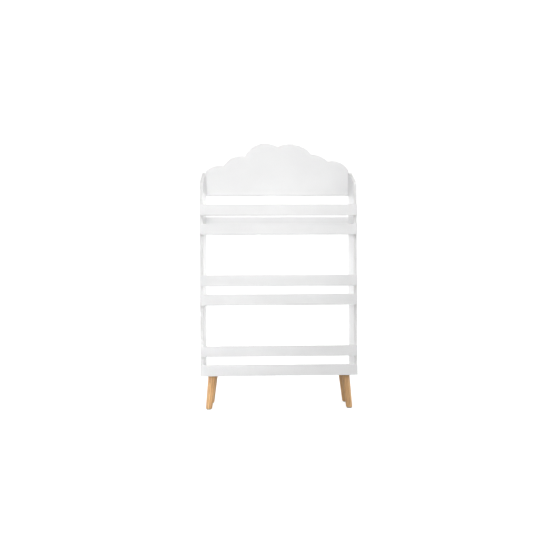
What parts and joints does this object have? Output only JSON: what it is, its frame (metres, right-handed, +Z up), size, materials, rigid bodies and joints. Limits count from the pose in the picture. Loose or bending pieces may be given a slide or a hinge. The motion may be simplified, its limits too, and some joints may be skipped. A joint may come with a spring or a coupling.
{
  "type": "children's bookcase",
  "caption": "Tall, shallow open bookcase with slatted book rails across the front of each tier, a cloud-shaped back panel at the top and splayed, tapered wooden legs.",
  "frame": {"origin": "on the floor, under the middle of the bookcase's width and depth", "axes": "+Z up; the front, with its rails, faces -Y; +X is to the right as seen from the front"},
  "size_m": [0.58, 0.18, 1.0079],
  "materials": {
    "white_paint": "smooth satin white paint on MDF",
    "leg_wood": "clear matt lacquer on pine",
    "dowel_wood": "raw beech",
    "zinc_steel": "bright zinc plate",
    "zinc_casting": "tumbled zinc die casting",
    "plate_steel": "black powder coat",
    "felt": "pressed wool felt"
  },
  "bodies": {
    "root": {"back_cam_bolts": "zinc_steel", "back_cam_locks": "zinc_casting", "back_dowels": "dowel_wood", "back_rail": "white_paint", "front_rail_bottom_lower": "white_paint", "front_rail_bottom_upper": "white_paint", "front_rail_middle_lower": "white_paint", "front_rail_middle_upper": "white_paint", "front_rail_top_lower": "white_paint", "front_rail_top_upper": "white_paint", "glide_back_left": "felt", "glide_back_right": "felt", "glide_front_left": "felt", "glide_front_right": "felt", "header_panel": "white_paint", "leg_back_left": "leg_wood", "leg_back_right": "leg_wood", "leg_front_left": "leg_wood", "leg_front_right": "leg_wood", "leg_hanger_bolts": "zinc_steel", "leg_plate_back_left": "plate_steel", "leg_plate_back_right": "plate_steel", "leg_plate_front_left": "plate_steel", "leg_plate_front_right": "plate_steel", "leg_plate_screws": "zinc_steel", "rail_cam_bolts": "zinc_steel", "rail_cam_locks": "zinc_casting", "rail_dowels": "dowel_wood", "shelf_bottom": "white_paint", "shelf_cam_bolts": "zinc_steel", "shelf_cam_locks": "zinc_casting", "shelf_dowels": "dowel_wood", "shelf_middle": "white_paint", "shelf_top": "white_paint", "side_panel_left": "white_paint", "side_panel_right": "white_paint"}
  },
  "joints": []
}
